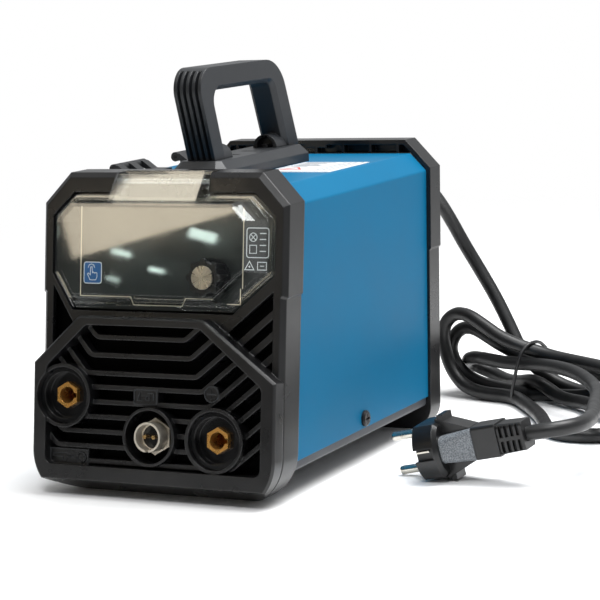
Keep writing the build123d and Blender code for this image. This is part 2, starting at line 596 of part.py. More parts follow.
# ---- fasteners, labels --------------------------------------------------------------------------
def build_fasteners():
    head = rod_x(COVER_X, COVER_X + 2.0, SCREW_Y, SCREW_Z, 4.5)
    head = chamfer(head.faces().sort_by(Axis.X)[-1].edges(), 0.8)
    head -= slab(COVER_X + 1.0, COVER_X + 3, SCREW_Y - 2.6, SCREW_Y + 2.6, SCREW_Z - 0.5, SCREW_Z + 0.5)
    head -= slab(COVER_X + 1.0, COVER_X + 3, SCREW_Y - 0.5, SCREW_Y + 0.5, SCREW_Z - 2.6, SCREW_Z + 2.6)
    screws = [head + rod_x(COVER_X - 8, COVER_X, SCREW_Y, SCREW_Z, 2.05)]
    for y in HANDLE_SCREWS_Y:
        screws.append(Pos(0, y, 168.5) * Cylinder(2.05, 15) + Pos(0, y, 160.2) * Cylinder(4.2, 2.6))
    for x, v in ((-66.5, 30.0), (66.5, 30.0), (-66.5, 146.0), (66.5, 146.0)):
        screw = on_rear(disc((x, v), 3.0), 0, 1.4) - on_rear(disc((x, v), 1.2), 0.5, 2)
        screws.append(screw)
    parts["case_screws"] = Compound(screws)
    parts["roof_label"] = slab(19.0, 60.0, -6.5, 46.5, ROOF_Z, ROOF_Z + 0.3)


# ---- inside: power electronics ------------------------------------------------------------------
def build_electronics():
    wall = slab(PARTITION_X, PARTITION_X + SHEET, -66, 70, PAN_Z + PAN_T, 158)
    wall -= rod_x(0, 6, FEED_Y, ROLLER_Z, 13.2)
    wall -= rod_x(0, 6, SPOOL_Y, SPOOL_Z, 4.0)
    parts["partition"] = wall

    board = slab(8, 66, -62, 50, BOARD_Z, BOARD_Z + 1.6)
    parts["power_board"] = board
    parts["heatsinks"] = Compound([heatsink(-58, -14), heatsink(-6, 38)])
    top = BOARD_Z + 1.6
    cans = [Pos(x, 44.5, top + 15) * Cylinder(5.5, 30) for x in (14, 27, 40, 53)]
    parts["capacitors"] = Compound(cans)
    core = slab(10, 34, -20, 4, top, top + 22) - slab(14, 30, -21, 5, top + 4, top + 18)
    parts["transformer_core"] = core + slab(10, 34, -20, 4, top + 9.4, top + 12.6)
    coils = [slab(14.1, 29.9, -25, 9, z, z + 5.2) for z in (top + 4.1, top + 12.7)]
    inductor = Pos(22, 25, top + 6) * (Cylinder(13, 12) - Cylinder(6, 14))
    parts["power_windings"] = Compound([*coils, inductor])


def heatsink(y0, y1):
    """Finned aluminium block standing on the power board, fins towards the outer wall."""
    top = BOARD_Z + 1.6
    sink = slab(38, 42, y0, y1, top, top + 60)
    for i in range(8):
        z = top + 2 + 8 * i
        sink += slab(42, 60, y0, y1, z, z + 1.8)
    return sink


def build_fan():
    at = flip(FAN_AT)
    x, v = at
    frame = on_rear(Pos(x, v) * RectangleRounded(60, 60, 4) - disc(at, 28.5), -32, -7)
    frame += on_rear(disc(at, 11), -11, -7.5) - on_rear(disc(at, 1.55), -12, -7)
    for i in range(3):
        arm = Pos(x, v) * Rot(0, 0, 90 + 120 * i) * Pos(19.5, 0) * Rectangle(19.5, 4)
        frame += on_rear(arm, -10.5, -7.5)
    parts["fan_frame"] = frame
    hub = on_rear(disc(at, 12), -29, -12)
    for i in range(7):
        a = 360 / 7 * i
        blade = Rot(0, 0, a) * (Pos(18.6, 0, 0) * Rot(38, 0, 0) * Box(15.5, 15, 1.4))
        hub += REAR.location * (Pos(x, v, -21) * blade)
    parts["fan_rotor"] = hub + on_rear(disc(at, 1.5), -12.5, -8)


# ---- inside: wire spool and feeder --------------------------------------------------------------
def build_spool():
    post = rod_x(-62, PARTITION_X, SPOOL_Y, SPOOL_Z, SPOOL_BORE - 0.05)
    post += rod_x(PARTITION_X - 3, PARTITION_X, SPOOL_Y, SPOOL_Z, 16)
    post += rod_x(PARTITION_X, PARTITION_X + 3, SPOOL_Y, SPOOL_Z, 4.0)
    parts["spool_post"] = post
    spool = rod_x(SPOOL_X, SPOOL_X + SPOOL_W, SPOOL_Y, SPOOL_Z, 20)
    for x in (SPOOL_X, SPOOL_X + SPOOL_W - 2.5):
        flange = rod_x(x, x + 2.5, SPOOL_Y, SPOOL_Z, SPOOL_R)
        for i in range(6):
            hole = Pos(SPOOL_Y, SPOOL_Z) * Rot(0, 0, 60 * i) * Pos(35, 0) * Circle(5)
            flange -= along_x(hole, x - 1, x + 4)
        spool += flange
    spool -= rod_x(SPOOL_X - 1, SPOOL_X + SPOOL_W + 1, SPOOL_Y, SPOOL_Z, SPOOL_BORE)
    parts["wire_spool"] = spool
    wire = rod_x(SPOOL_X + 2.5, SPOOL_X + SPOOL_W - 2.5, SPOOL_Y, SPOOL_Z, 29)
    parts["wire_winding"] = wire - rod_x(-90, 10, SPOOL_Y, SPOOL_Z, 20)
    lobes = sum((Pos(SPOOL_Y, SPOOL_Z) * Rot(0, 0, 60 * i) * Pos(11.5, 0) * Circle(3.4) for i in range(6)),
                Pos(SPOOL_Y, SPOOL_Z) * Circle(12))
    nut = along_x(lobes, -60, -51) - rod_x(-62, -50, SPOOL_Y, SPOOL_Z, SPOOL_BORE - 0.05)
    parts["spool_nut"] = nut


def build_feeder():
    plate = slab(-4, PARTITION_X, -66, -26, 44, 104)
    plate -= rod_x(-5, 4, FEED_Y, ROLLER_Z, 4.0)
    parts["feed_plate"] = plate + rod_x(-24, -4, *ARM_PIVOT, 2.5)
    body = rod_x(PARTITION_X + SHEET, 30, FEED_Y, ROLLER_Z, 15)
    parts["feed_motor"] = body - rod_x(0, 12, FEED_Y, ROLLER_Z, 3.05)
    roller = rod_x(*ROLLER_X, FEED_Y, ROLLER_Z, ROLLER_R) + rod_x(-23, 11, FEED_Y, ROLLER_Z, 3.0)
    groove = along_x(Pos(FEED_Y, ROLLER_Z) * (Circle(ROLLER_R + 1) - Circle(ROLLER_R - 0.5)), -15.5, -14.5)
    parts["drive_roller"] = roller - groove
    x0, x1 = ROLLER_X
    side = face((-69, 78), (-60, 76.5), (-40, 77), (-36, 90), (-26, 90), (-26, 98), (-60, 98), (-69, 88))
    arm = along_x(side, -24, -20.2)
    arm += rod_x(-20.2, -8.6, FEED_Y, IDLER_Z, 3.0)
    arm += rod_x(-24, -5, *ARM_PIVOT, 4.6)
    arm += slab(-24, -8, -34, -26, 90, 98)
    arm -= rod_x(-30, 0, *ARM_PIVOT, 2.55)
    arm -= Pos(-16, TENSION_Y, 94) * Cylinder(2.0, 20)
    parts["idler_arm"] = arm
    wheel = rod_x(x0, x1, FEED_Y, IDLER_Z, IDLER_R) - rod_x(x0 - 1, x1 + 1, FEED_Y, IDLER_Z, 3.05)
    parts["idler_roller"] = wheel
    knob = Pos(-16, TENSION_Y, 107) * (Cylinder(6.5, 14) + Pos(0, 0, -13.5) * Cylinder(1.95, 17))
    parts["tension_knob"] = knob
    wire_z = ROLLER_Z + ROLLER_R + WIRE_D / 2
    inlet = along_y(disc((-15, wire_z), 3.0), -32.5, -26.5) - along_y(disc((-15, wire_z), 0.8), -40, -20)
    outlet = along_y(disc((-15, wire_z), 3.0), -66, -59.5) - along_y(disc((-15, wire_z), 0.8), -70, -50)
    holders = [inlet + slab(-12.4, -4, -32.5, -26.5, wire_z - 2, wire_z + 2),
               outlet + slab(-12.4, -4, -66, -59.5, wire_z - 2, wire_z + 2)]
    parts["wire_guides"] = Compound([h - along_y(disc((-15, wire_z), 0.8), -80, -10) for h in holders])


# ---- mains lead ---------------------------------------------------------------------------------

def route_radii(points):
    """The largest tangent arc that each corner's two runs allow."""
    radii = []
    for a, b, c in zip(points, points[1:], points[2:]):
        u, w = Vector(*b) - Vector(*a), Vector(*c) - Vector(*b)
        radii.append(0.45 * min(u.length, w.length) / tan(radians(u.get_angle(w)) / 2))
    return radii


def tube(name, points):
    """Round cord along straight runs joined by tangent arcs."""
    radii = route_radii(points)
    path = FilletPolyline(*points, radius=radii)
    start = Plane(origin=points[0], z_dir=Vector(*points[1]) - Vector(*points[0]))
    cord = sweep(start * Circle(CORD_D / 2), path=path)
    expected = pi * CORD_D ** 2 / 4 * path.length
    print(name, "radii", [round(r) for r in radii], "length", round(path.length), "volume ratio",
          round(cord.volume / expected, 3))
    return cord


def hank_section(s, width, height, shift):
    frame = Pos(*HANK_AT, 0) * Rot(0, 0, HANK_ANGLE) * Pos(s, shift, height / 2) * Rot(0, 90, 0)
    return frame * RectangleRounded(height, width, min(width, height) * 0.3)


def build_cord():
    parts["cord_drop"] = tube("drop", DROP_ROUTE)
    parts["cord_tail"] = tube("tail", TAIL_ROUTE)
    faces = [hank_section(*values) for values in HANK_SECTIONS]
    hank = loft([f.faces()[0] for f in faces], ruled=True)
    parts["cord_hank"] = hank + Pos(0, 0, 0.1) * extrude(face(*FLOOR_LOOP), CORD_D)
    frame = Pos(*HANK_AT, 0) * Rot(0, 0, HANK_ANGLE) * Rot(0, 90, 0)
    outer = Pos(-TIE_H / 2, 0) * RectangleRounded(TIE_H, TIE_W, 9)
    inner = Pos(-TIE_H / 2 + 0.8, 0) * RectangleRounded(TIE_H - 1.6, TIE_W - 2.4, 8.1)
    band = Pos(0, 0, -1.2) * extrude(outer, 2.4) - Pos(0, 0, -1.6) * extrude(inner, 3.2)
    parts["cable_tie"] = frame * band


def plug_frame():
    """Local frame of the plug: z runs from its face back along the lead, x through the two pins."""
    axis = Vector(*PLUG_AXIS).normalized()
    across = Vector(axis.Y, -axis.X, 0).normalized()
    upward = (Vector(0, 0, 1) - axis * axis.Z).normalized()
    x_dir = across * cos(radians(PLUG_ROLL)) - upward * sin(radians(PLUG_ROLL))
    return Plane(origin=PLUG_FACE, x_dir=x_dir, z_dir=axis).location


def build_plug():
    """Earthed plug: flats beside the pins, a lip and wing behind each, a waisted grip, neck and relief."""
    place = plug_frame()
    flats = Circle(18.5) & Rectangle(29.4, 40)
    body = extrude(flats, 11.5) + Pos(0, 0, 11.5) * extrude(flats, 2.2, taper=40)
    for side in (-1, 1):
        body += Pos(side * 16.0, 0, 14.2) * Box(4.4, 12, 3.6)
        body -= Pos(0, side * 17.2, 4.5) * Box(6.4, 5.4, 13)
    body += loft([(Pos(0, 0, 11) * Rectangle(33, 13)).faces()[0],
                  (Pos(0, 0, 30) * Rectangle(18, 13)).faces()[0]])
    body += loft([(Pos(0, 0, 9) * RectangleRounded(14, 32, 5)).faces()[0],
                  (Pos(0, 0, 31) * RectangleRounded(17.6, 18, 2)).faces()[0]])
    body += Pos(0, 0, 31) * extrude(RectangleRounded(18, 17, 1.6), PLUG_NECK - 31)
    parts["plug_body"] = place * body
    clips = [Pos(-1.5, side * 15.85, 4.9) * Box(0.9, 2.7, 7.9) for side in (-1, 1)]
    pins = [Pos(side * 9.5, 0, -9.5) * Cylinder(2.4, 19) for side in (-1, 1)]
    pins = [pin.fillet(1.8, pin.faces().sort_by(Axis.Z)[0].edges()) for pin in pins]
    parts["plug_contacts"] = place * Compound([*pins, *clips])
    relief = Pos(0, 0, PLUG_NECK) * extrude(RectangleRounded(16.6, 15.4, 2.4), PLUG_L - PLUG_NECK, taper=2.5)
    for i in range(4):
        z = PLUG_NECK + 2.3 + 3.2 * i
        for side in (-1, 1):
            for row in (-1, 1):
                relief -= Pos(row * 4.1, side * 7.5, z) * Box(6.0, 4.4, 1.7)
    parts["plug_relief"] = place * relief


# ---- build --------------------------------------------------------------------------------------
def main():
    parts["front_bezel"] = build_front_bezel()
    parts["clear_guard"] = build_clear_guard()
    build_control_parts()
    build_sockets()
    build_rear()
    build_gland()
    build_cover()
    build_latches()
    build_hinges()
    build_handle()
    build_fasteners()
    build_electronics()
    build_fan()
    build_spool()
    build_feeder()
    build_cord()
    build_plug()
    os.makedirs("parts", exist_ok=True)
    for name, shape in parts.items():
        export_step(shape, f"parts/{name}.step")
    print(len(parts), "nodes")


main()
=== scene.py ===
"""Looks of the compact inverter MIG welder: finishes, mains lead, panel print, light and camera.

Blender's units are metres. Places on the control panel, the back and the roof, and the lead's route, are
given in millimetres; on the two leaning panels they are (x, height along the panel, depth out of it).
"""
from math import cos, pi, radians, sin

import bmesh
import bpy
from mathutils import Matrix, Vector


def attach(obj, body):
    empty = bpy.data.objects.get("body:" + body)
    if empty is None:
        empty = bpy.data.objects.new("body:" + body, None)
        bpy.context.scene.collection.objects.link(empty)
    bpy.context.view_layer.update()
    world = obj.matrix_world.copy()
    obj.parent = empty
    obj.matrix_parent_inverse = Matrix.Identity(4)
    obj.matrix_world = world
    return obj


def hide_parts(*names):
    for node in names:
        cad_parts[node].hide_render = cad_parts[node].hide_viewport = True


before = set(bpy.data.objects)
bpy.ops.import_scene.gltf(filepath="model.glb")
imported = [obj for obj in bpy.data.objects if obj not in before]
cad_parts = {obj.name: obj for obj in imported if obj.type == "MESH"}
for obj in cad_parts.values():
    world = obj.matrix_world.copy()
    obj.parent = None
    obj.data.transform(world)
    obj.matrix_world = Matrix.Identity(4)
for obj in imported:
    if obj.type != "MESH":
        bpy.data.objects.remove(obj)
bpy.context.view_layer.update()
SCENE = bpy.context.scene

# Cosine and sine of each leaning panel's tilt, and where its plane meets the floor, in millimetres.
PANEL_COS, PANEL_SIN, PANEL_FOOT = 0.98894, 0.14834, -109.5
REAR_COS, REAR_SIN, REAR_FOOT = 0.99720, 0.07479, 103.9


# ---- helpers: shader nodes ----------------------------------------------------------------------
def linear(red, green, blue):
    """Scene-linear colour of an 8-bit display colour."""
    return tuple((c / 255 / 12.92) if c <= 10 else ((c / 255 + 0.055) / 1.055) ** 2.4
                 for c in (red, green, blue)) + (1.0,)


def node(tree, kind, inputs=None, **settings):
    """New shader node; an input is a value or the socket that feeds it."""
    made = tree.nodes.new("ShaderNode" + kind)
    for key, value in settings.items():
        setattr(made, key, value)
    for key, value in (inputs or {}).items():
        if isinstance(value, bpy.types.NodeSocket):
            tree.links.new(value, made.inputs[key])
        else:
            made.inputs[key].default_value = value
    return made


def ramp(tree, factor, stops):
    """Colour ramp through (place, colour) stops."""
    made = node(tree, "ValToRGB", {"Fac": factor})
    elements = made.color_ramp.elements
    while len(elements) < len(stops):
        elements.new(0.5)
    for element, (place, color) in zip(elements, stops):
        element.position = place
        element.color = color
    return made.outputs["Color"]


def spread(tree, factor, low, high):
    """Factor mapped from 0.3–0.7, where noise lives, to low–high."""
    return node(tree, "MapRange", {"Value": factor, "From Min": 0.3, "From Max": 0.7,
                                   "To Min": low, "To Max": high}).outputs["Result"]


def new_material(name):
    """New material with its node tree and its shader."""
    material = bpy.data.materials.new(name)
    material.use_nodes = True
    tree = material.node_tree
    return material, tree, tree.nodes["Principled BSDF"]


def soft_edges(tree, radius):
    """Normal that rounds every sharp edge to a radius."""
    return node(tree, "Bevel", {"Radius": radius}, samples=4).outputs["Normal"]


def surface(name, color, other=None, rough=(0.4, 0.5), patch=45, grain=1800, depth=0.00003,
            edge=0.0004, wear=0.0, stretch=None, **sockets):
    """Finish with mottled colour and roughness, fine grain, softened edges, and corners made paler, partly as
    worn spots and partly as a painted highlight along the edges.
    """
    material, tree, shader = new_material(name)
    place = node(tree, "TexCoord").outputs["Object"]
    if stretch:
        place = node(tree, "Mapping", {"Vector": place, "Scale": stretch}).outputs["Vector"]
    mottle = node(tree, "TexNoise", {"Vector": place, "Scale": patch, "Detail": 4, "Roughness": 0.6})
    fine = node(tree, "TexNoise", {"Vector": place, "Scale": grain, "Detail": 2})
    tone = ramp(tree, mottle.outputs["Fac"], [(0.3, color), (0.7, other or color)])
    normal = soft_edges(tree, edge) if edge else None
    # Paler corners where the rounded normal turns away from the flat one: partly worn, partly a painted edge
    # highlight.
    if wear:
        plain = node(tree, "NewGeometry").outputs["Normal"]
        facing = node(tree, "VectorMath", {0: normal, 1: plain}, operation="DOT_PRODUCT").outputs["Value"]
        rubbed_and_highlit = node(tree, "MapRange", {"Value": facing, "From Min": 0.97, "From Max": 0.85,
                                         "To Min": 0, "To Max": wear}).outputs["Result"]
        patchy_wear_and_highlight = node(tree, "Math", {0: rubbed_and_highlit, 1: mottle.outputs["Fac"]}, operation="MULTIPLY").outputs[0]
        pale = tuple(min(1, c * 2.2 + 0.035) for c in color[:3]) + (1,)
        tone = node(tree, "Mix", {0: patchy_wear_and_highlight, 6: tone, 7: pale}, data_type="RGBA").outputs[2]
    tree.links.new(tone, shader.inputs["Base Color"])
    tree.links.new(spread(tree, mottle.outputs["Fac"], *rough), shader.inputs["Roughness"])
    bump = node(tree, "Bump", {"Height": fine.outputs["Fac"], "Distance": depth, "Strength": 0.6})
    if normal:
        tree.links.new(normal, bump.inputs["Normal"])
    tree.links.new(bump.outputs["Normal"], shader.inputs["Normal"])
    for key, value in sockets.items():
        shader.inputs[key.replace("_", " ")].default_value = value
    return material


def metal(name, color, other=None, rough=(0.2, 0.35), **settings):
    """Bare metal: a surface with no colour under its sheen."""
    settings.setdefault("edge", 0.00025)
    settings.setdefault("depth", 0.00001)
    return surface(name, color, other, rough, Metallic=1.0, **settings)


def clear(name, tint):
    """Thin clear plastic: lets lamps and sight straight through, with a mirror that grows at the rim."""
    material, tree, shader = new_material(name)
    tree.nodes.remove(shader)
    place = node(tree, "TexCoord").outputs["Object"]
    smear = node(tree, "TexNoise", {"Vector": place, "Scale": 38, "Detail": 6, "Roughness": 0.65})
    rim = soft_edges(tree, 0.0008)
    facing = node(tree, "LayerWeight", {"Blend": 0.5, "Normal": rim}).outputs["Facing"]
    steep = node(tree, "Math", {0: facing, 1: 3.0}, operation="POWER").outputs[0]
    share = node(tree, "MapRange", {"Value": steep, "To Min": 0.055, "To Max": 0.8}).outputs["Result"]
    through = node(tree, "BsdfTransparent", {"Color": tint})
    mirror = node(tree, "BsdfAnisotropic", {"Color": (1, 1, 1, 1), "Normal": rim,
                                            "Roughness": spread(tree, smear.outputs["Fac"], 0.015, 0.05)})
    mix = node(tree, "MixShader", {0: share, 1: through.outputs[0], 2: mirror.outputs[0]})
    tree.links.new(mix.outputs[0], tree.nodes["Material Output"].inputs["Surface"])
    return material


def spun(name, color, centre, turn, rough=(0.22, 0.34)):
    """Metal turned on a lathe: fine rings, and a fan of sheen about an axis painted into its colour as
    lighter and darker sectors.
    """
    material, tree, shader = new_material(name)
    place = node(tree, "TexCoord").outputs["Object"]
    moved = node(tree, "VectorMath", {0: place, 1: centre}, operation="SUBTRACT").outputs[0]
    laid = node(tree, "VectorRotate", {"Vector": moved, "Rotation": turn}, rotation_type="EULER_XYZ")
    flat = node(tree, "SeparateXYZ", {0: laid.outputs[0]})
    angle = node(tree, "Math", {0: flat.outputs[1], 1: flat.outputs[0]}, operation="ARCTAN2").outputs[0]
    wide = node(tree, "CombineXYZ", {0: angle}).outputs[0]
    fan = node(tree, "TexNoise", {"Vector": wide, "Scale": 1.6, "Detail": 9, "Roughness": 0.62})
    # Painted sheen: the colour drops to half its brightness in some sectors round the axis; the roughness
    # follows the same fan.
    tone = ramp(tree, fan.outputs["Fac"], [(0.3, tuple(c * 0.5 for c in color[:3]) + (1,)), (0.7, color)])
    tree.links.new(tone, shader.inputs["Base Color"])
    tree.links.new(spread(tree, fan.outputs["Fac"], *rough), shader.inputs["Roughness"])
    length = node(tree, "VectorMath", {0: laid.outputs[0]}, operation="LENGTH").outputs["Value"]
    ring = node(tree, "Math", {0: length, 1: 9000.0}, operation="MULTIPLY").outputs[0]
    wave = node(tree, "Math", {0: ring}, operation="SINE").outputs[0]
    bump = node(tree, "Bump", {"Height": wave, "Distance": 0.00002, "Strength": 0.4,
                               "Normal": soft_edges(tree, 0.0003)})
    tree.links.new(bump.outputs["Normal"], shader.inputs["Normal"])
    shader.inputs["Metallic"].default_value = 1.0
    return material


# ---- helpers: meshes ----------------------------------------------------------------------------
def panel_point(x, v, w):
    """Point on the leaning control panel, from millimetres."""
    return Vector((x, PANEL_FOOT + PANEL_SIN * v - PANEL_COS * w, PANEL_COS * v + PANEL_SIN * w)) / 1000


def rear_point(x, v, w):
    """Point on the leaning back, from millimetres; x runs towards +X."""
    return Vector((x, REAR_FOOT + REAR_SIN * v + REAR_COS * w, REAR_COS * v - REAR_SIN * w)) / 1000


def roof_point(x, y, z):
    """Point in the machine's own axes, from millimetres."""
    return Vector((x, y, z)) / 1000


def piece(name, material, bevel=0.0):
    """Empty mesh piece that rides on the housing; returns it with the bmesh to fill."""
    mesh = bpy.data.meshes.new(name)
    made = bpy.data.objects.new(name, mesh)
    SCENE.collection.objects.link(made)
    mesh.materials.append(material)
    if bevel:
        rounding = made.modifiers.new("rounding", "BEVEL")
        rounding.width = bevel
        rounding.segments = 2
        rounding.limit_method = "ANGLE"
    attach(made, "housing")
    return made, bmesh.new()


def done(made, bm):
    """Closes a piece: writes its bmesh into its mesh."""
    bmesh.ops.recalc_face_normals(bm, faces=bm.faces)
    bm.to_mesh(made.data)
    bm.free()


def plate(bm, at, outline, w0, w1):
    """Solid between two depths with this outline; at turns (x, v, w) into a point."""
    lower = [bm.verts.new(at(x, v, w0)) for x, v in outline]
    upper = [bm.verts.new(at(x, v, w1)) for x, v in outline]
    bm.faces.new(lower)
    bm.faces.new(upper)
    count = len(outline)
    for i in range(count):
        j = (i + 1) % count
        bm.faces.new((lower[i], lower[j], upper[j], upper[i]))


def stroke(bm, at, points, width, w0, w1, closed=False):
    """Mitred line of even width through the points."""
    pts = [Vector(p) for p in points]
    count = len(pts)
    left, right = [], []
    for i, p in enumerate(pts):
        before = (p - pts[i - 1]).normalized() if (i or closed) else None
        after = (pts[(i + 1) % count] - p).normalized() if (i < count - 1 or closed) else None
        before, after = before or after, after or before
        mid = (before + after).normalized()
        side = Vector((-mid.y, mid.x)) * (width / 2 / max(0.4, mid.dot(after)))
        left.append(p + side)
        right.append(p - side)
    spans = count if closed else count - 1
    for i in range(spans):
        j = (i + 1) % count
        plate(bm, at, [left[i], left[j], right[j], right[i]], w0, w1)


def round_rect(x0, x1, y0, y1, r, steps=4):
    """Outline of a rectangle with round corners."""
    out = []
    corners = ((x1 - r, y1 - r, 0), (x0 + r, y1 - r, 90), (x0 + r, y0 + r, 180), (x1 - r, y0 + r, 270))
    for cx, cy, start in corners:
        for k in range(steps + 1):
            a = radians(start + 90 * k / steps)
            out.append((cx + r * cos(a), cy + r * sin(a)))
    return out


def circle(x, y, r, steps=24):
    """Outline of a circle."""
    return [(x + r * cos(2 * pi * k / steps), y + r * sin(2 * pi * k / steps)) for k in range(steps)]


def revolve(bm, profile, origin, axis, steps=40):
    """Closed solid of revolution; profile is (distance along axis, radius) from end to end."""
    axis = Vector(axis).normalized()
    across = axis.orthogonal().normalized()
    third = axis.cross(across)
    rings = []
    for along, r in profile:
        rings.append([bm.verts.new(origin + axis * along + (across * cos(2 * pi * k / steps)
                                                          + third * sin(2 * pi * k / steps)) * r)
                      for k in range(steps)])
    for a, b in zip(rings, rings[1:]):
        for k in range(steps):
            m = (k + 1) % steps
            bm.faces.new((a[k], a[m], b[m], b[k]))
    bm.faces.new(rings[0])
    bm.faces.new(rings[-1])


def curve_piece(name, points, radius, material, closed=False, resolution=10):
    """Smooth NURBS line along given control points, with a round section."""
    data = bpy.data.curves.new(name, "CURVE")
    data.dimensions = "3D"
    spline = data.splines.new("NURBS")
    spline.points.add(len(points) - 1)
    for target, p in zip(spline.points, points):
        target.co = (*p, 1)
    spline.order_u = 3
    if closed:
        spline.use_cyclic_u = True
    else:
        spline.use_endpoint_u = True
    spline.resolution_u = resolution
    data.bevel_depth = radius
    data.bevel_resolution = 5
    data.use_fill_caps = True
    made = bpy.data.objects.new(name, data)
    SCENE.collection.objects.link(made)
    data.materials.append(material)
    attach(made, "housing")
    return made


# ---- camera -------------------------------------------------------------------------------------
camera_data = bpy.data.cameras.new("camera")
camera_data.lens = 131.16
camera_data.sensor_width = 36
camera_data.clip_end = 20
camera = bpy.data.objects.new("camera", camera_data)
SCENE.collection.objects.link(camera)
camera.matrix_world = Matrix(((0.8924, -0.0266, 0.4506, 0.5889), (0.4490, 0.1581, -0.8794, -1.0808),
                              (-0.0478, 0.9871, 0.1530, 0.2793), (0, 0, 0, 1)))
SCENE.camera = camera
SCENE.view_settings.view_transform = "Standard"

# ---- finishes -----------------------------------------------------------------------------------
TILT = radians(81.47)          # angle between the control panel's plane and the floor
finishes = {
    "black_plastic": surface("moulded_black", linear(12, 12, 13), linear(17, 17, 18), (0.24, 0.37),
                             patch=30, grain=1500, depth=0.00004, edge=0.0009, wear=0.3),
    "clear_plastic": clear("clear_guard", (0.93, 0.945, 0.94, 1)),
    "gloss_black": surface("glossy_membrane", linear(41, 43, 42), linear(47, 49, 48), (0.08, 0.14), patch=20,
                           depth=0.000005, edge=0.0003),
    "steel": metal("turned_steel", linear(196, 197, 199), linear(170, 171, 173), grain=2500),
    "zinc": metal("zinc_plate", linear(186, 189, 194), linear(150, 154, 160), (0.28, 0.42), patch=220),
    "knob_black": surface("knob_black", linear(8, 8, 9), linear(13, 13, 14), (0.2, 0.3), wear=0.5),
    "silver_cap": spun("spun_silver", linear(240, 228, 214), panel_point(30.8, 119, 10.8),
                       (TILT - pi, 0, 0)),
    "board": surface("solder_mask", linear(18, 92, 48), linear(24, 108, 56), (0.25, 0.4),
                     patch=90, depth=0.00004),
    "socket_plastic": surface("glossy_bowl", linear(11, 11, 12), linear(15, 15, 16), (0.14, 0.22), patch=60,
                              depth=0.000008, edge=0.0006, wear=0.25),
    "brass": surface("turned_brass", linear(206, 156, 84), linear(176, 126, 60), (0.2, 0.36), patch=260,
                     edge=0.00025, depth=0.00001, Metallic=0.75),
    "nut_brass": surface("satin_brass", linear(210, 170, 104), linear(184, 142, 80), (0.3, 0.45), patch=200,
                         edge=0.00025, depth=0.00001, Metallic=0.75),
    "nickel": surface("nickel", linear(214, 207, 194), linear(184, 176, 162), (0.3, 0.45), patch=260,
                      edge=0.00025, depth=0.00001, Metallic=0.72),
    "pin_metal": metal("gold_pins", linear(226, 190, 132), linear(200, 160, 100), (0.18, 0.3), patch=300),
    "grey_sheet": surface("dark_powder_coat", linear(58, 60, 64), linear(66, 68, 72), (0.45, 0.6), grain=2600,
                          depth=0.00006, edge=0.0003, wear=0.4),
    "rocker_red": surface("rocker_red", linear(178, 24, 20), linear(196, 32, 26), (0.16, 0.26),
                          depth=0.00001),
    "gland_nylon": surface("gland_nylon", linear(27, 27, 28), linear(33, 33, 34), (0.38, 0.5),
                           edge=0.0005, wear=0.2),
    "cord_rubber": surface("lead_sheath", linear(10, 11, 12), linear(14, 15, 16), (0.36, 0.5), patch=120,
                           grain=2600, depth=0.00004, edge=0),
    "latch_plastic": surface("latch_black", linear(28, 28, 30), linear(34, 34, 36), (0.34, 0.46), wear=0.3),
    "hinge_black": surface("hinge_black", linear(28, 29, 31), linear(36, 37, 39), (0.35, 0.5),
                           edge=0.0003, wear=0.5),
    "handle_plastic": surface("handle_black", linear(30, 32, 35), linear(36, 38, 41), (0.38, 0.52), patch=35,
                              grain=1500, depth=0.00005, edge=0.0009, wear=0.25),
    "screw_black": surface("black_oxide", linear(26, 26, 27), linear(38, 38, 40), (0.25, 0.4), patch=300,
                           edge=0.0002, wear=0.6, Metallic=0.5),
    "label": surface("printed_film", linear(226, 229, 231), linear(236, 238, 240), (0.22, 0.3), patch=25,
                     depth=0.00001, edge=0.0001),
    "heatsink_alu": metal("extruded_aluminium", linear(205, 207, 210), linear(180, 183, 187), (0.3, 0.42),
                          patch=150, stretch=(1, 0.05, 1)),
    "capacitor_sleeve": surface("capacitor_sleeve", linear(20, 26, 46), linear(26, 34, 58), (0.2, 0.3)),
    "ferrite": surface("sintered_ferrite", linear(62, 63, 66), linear(74, 75, 78), (0.5, 0.65),
                       patch=200, grain=2600),
    "fan_black": surface("fan_black", linear(26, 26, 27), linear(31, 31, 32), (0.36, 0.48)),
    "spool_black": surface("spool_black", linear(40, 41, 43), linear(47, 48, 50), (0.4, 0.52), wear=0.3),
    "feeder_alu": metal("cast_aluminium", linear(188, 190, 194), linear(160, 163, 168), (0.4, 0.55),
                        grain=1600, depth=0.00006),
    "tie_nylon": surface("tie_nylon", linear(20, 20, 21), linear(25, 25, 26), (0.35, 0.45), edge=0.0002),
    "plug_metal": metal("plug_nickel", linear(208, 204, 194), linear(182, 177, 166), (0.16, 0.3),
                        patch=300, wear=0.3),
}


def blue_paint():
    """Powder coat on sheet steel: faint orange peel, and thin edges made pale, partly as worn spots and
    partly as a painted edge highlight.
    """
    material = surface("blue_powder_coat", linear(6, 92, 129), linear(9, 98, 136), (0.4, 0.5), patch=14,
                       grain=2400, depth=0.00003, edge=0.0006, wear=0.25)
    material.node_tree.nodes["Principled BSDF"].inputs["Specular IOR Level"].default_value = 0.1
    return material


LOUVRE_FACE = 0.10829          # distance of the louvres' front plane from the frame's centre
LOUVRE_DEPTH = 0.0031          # how far behind that plane the painted shade begins
GRILLE_HALF = 0.0676           # half the grille's width
GRILLE_Z = (0.0155, 0.1135)    # its lower and upper ends


